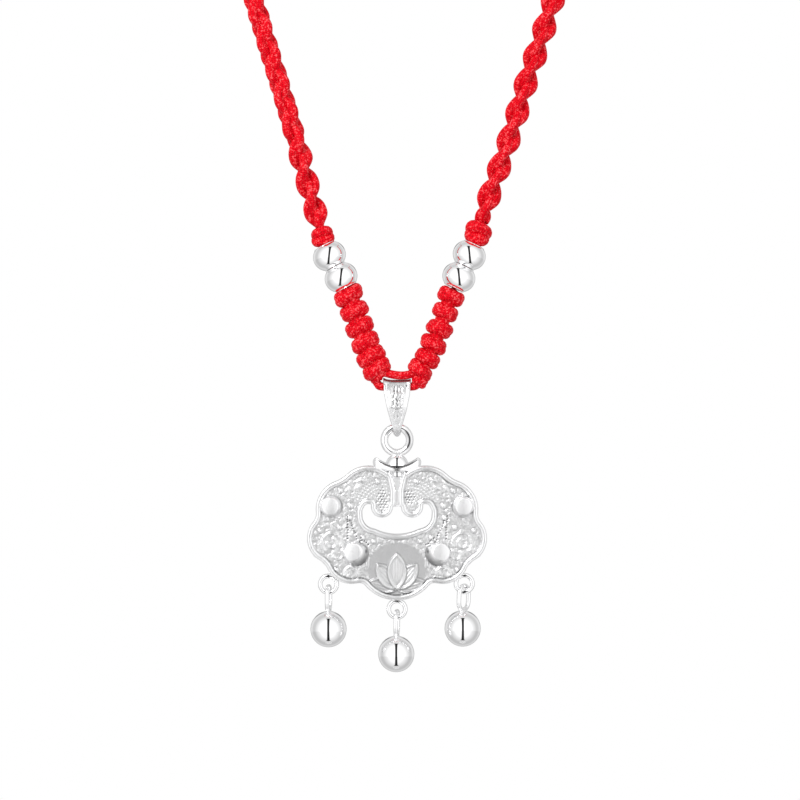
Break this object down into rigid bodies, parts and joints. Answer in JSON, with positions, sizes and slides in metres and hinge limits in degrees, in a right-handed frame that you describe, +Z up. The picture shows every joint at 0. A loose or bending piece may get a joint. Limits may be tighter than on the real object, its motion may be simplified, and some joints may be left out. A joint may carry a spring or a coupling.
{
  "type": "longevity lock pendant necklace",
  "caption": "Lock-shaped silver pendant with ruyi cut-out, cast relief and hanging ball drops, on a bail, with polished beads on a knotted and braided red cord.",
  "frame": {"origin": "centre of the wearer's neck, level with the cord where it crosses the sides of the neck", "axes": "+Z up, +X to the right as seen from the front, +Y from the chest to the nape; the pendant hangs at -Y"},
  "size_m": [0.119, 0.1214, 0.1788],
  "materials": {
    "silver_lock": "cast silver, polished rim and studs, matt patterned ground",
    "silver_bail": "polished silver sheet with a chased pattern",
    "silver_drop": "mirror-polished silver",
    "silver_bead": "mirror-polished silver",
    "red_strand": "braided nylon strand",
    "red_knots": "knotted braided nylon strand",
    "red_braid": "four braided nylon strands"
  },
  "bodies": {
    "necklace": {"bail_cord": "red_strand", "bridge_cord": "red_strand", "knots_left": "red_knots", "knots_right": "red_knots", "thread_left": "red_strand", "thread_right": "red_strand", "bead_left_low": "silver_bead", "bead_left_top": "silver_bead", "bead_right_low": "silver_bead", "bead_right_top": "silver_bead", "upper_knot_left": "red_knots", "upper_knot_right": "red_knots", "braid_left_front": "red_braid", "braid_left_nape": "red_braid", "braid_right_front": "red_braid", "braid_right_nape": "red_braid", "closing_knot": "red_knots"},
    "bail": {"bail": "silver_bail"},
    "pendant": {"lock": "silver_lock", "drop_left": "silver_drop", "drop_middle": "silver_drop", "drop_right": "silver_drop"}
  },
  "joints": [
    {"name": "bail_swing", "type": "hinge", "parent": "necklace", "child": "bail", "pos_m": [0, -0.058, -0.12], "axis": [1, 0, 0], "range_deg": [-80, 80]},
    {"name": "lock_swing", "type": "hinge", "parent": "bail", "child": "pendant", "pos_m": [0, -0.058, -0.1283], "axis": [0, 1, 0], "range_deg": [-60, 60]}
  ]
}
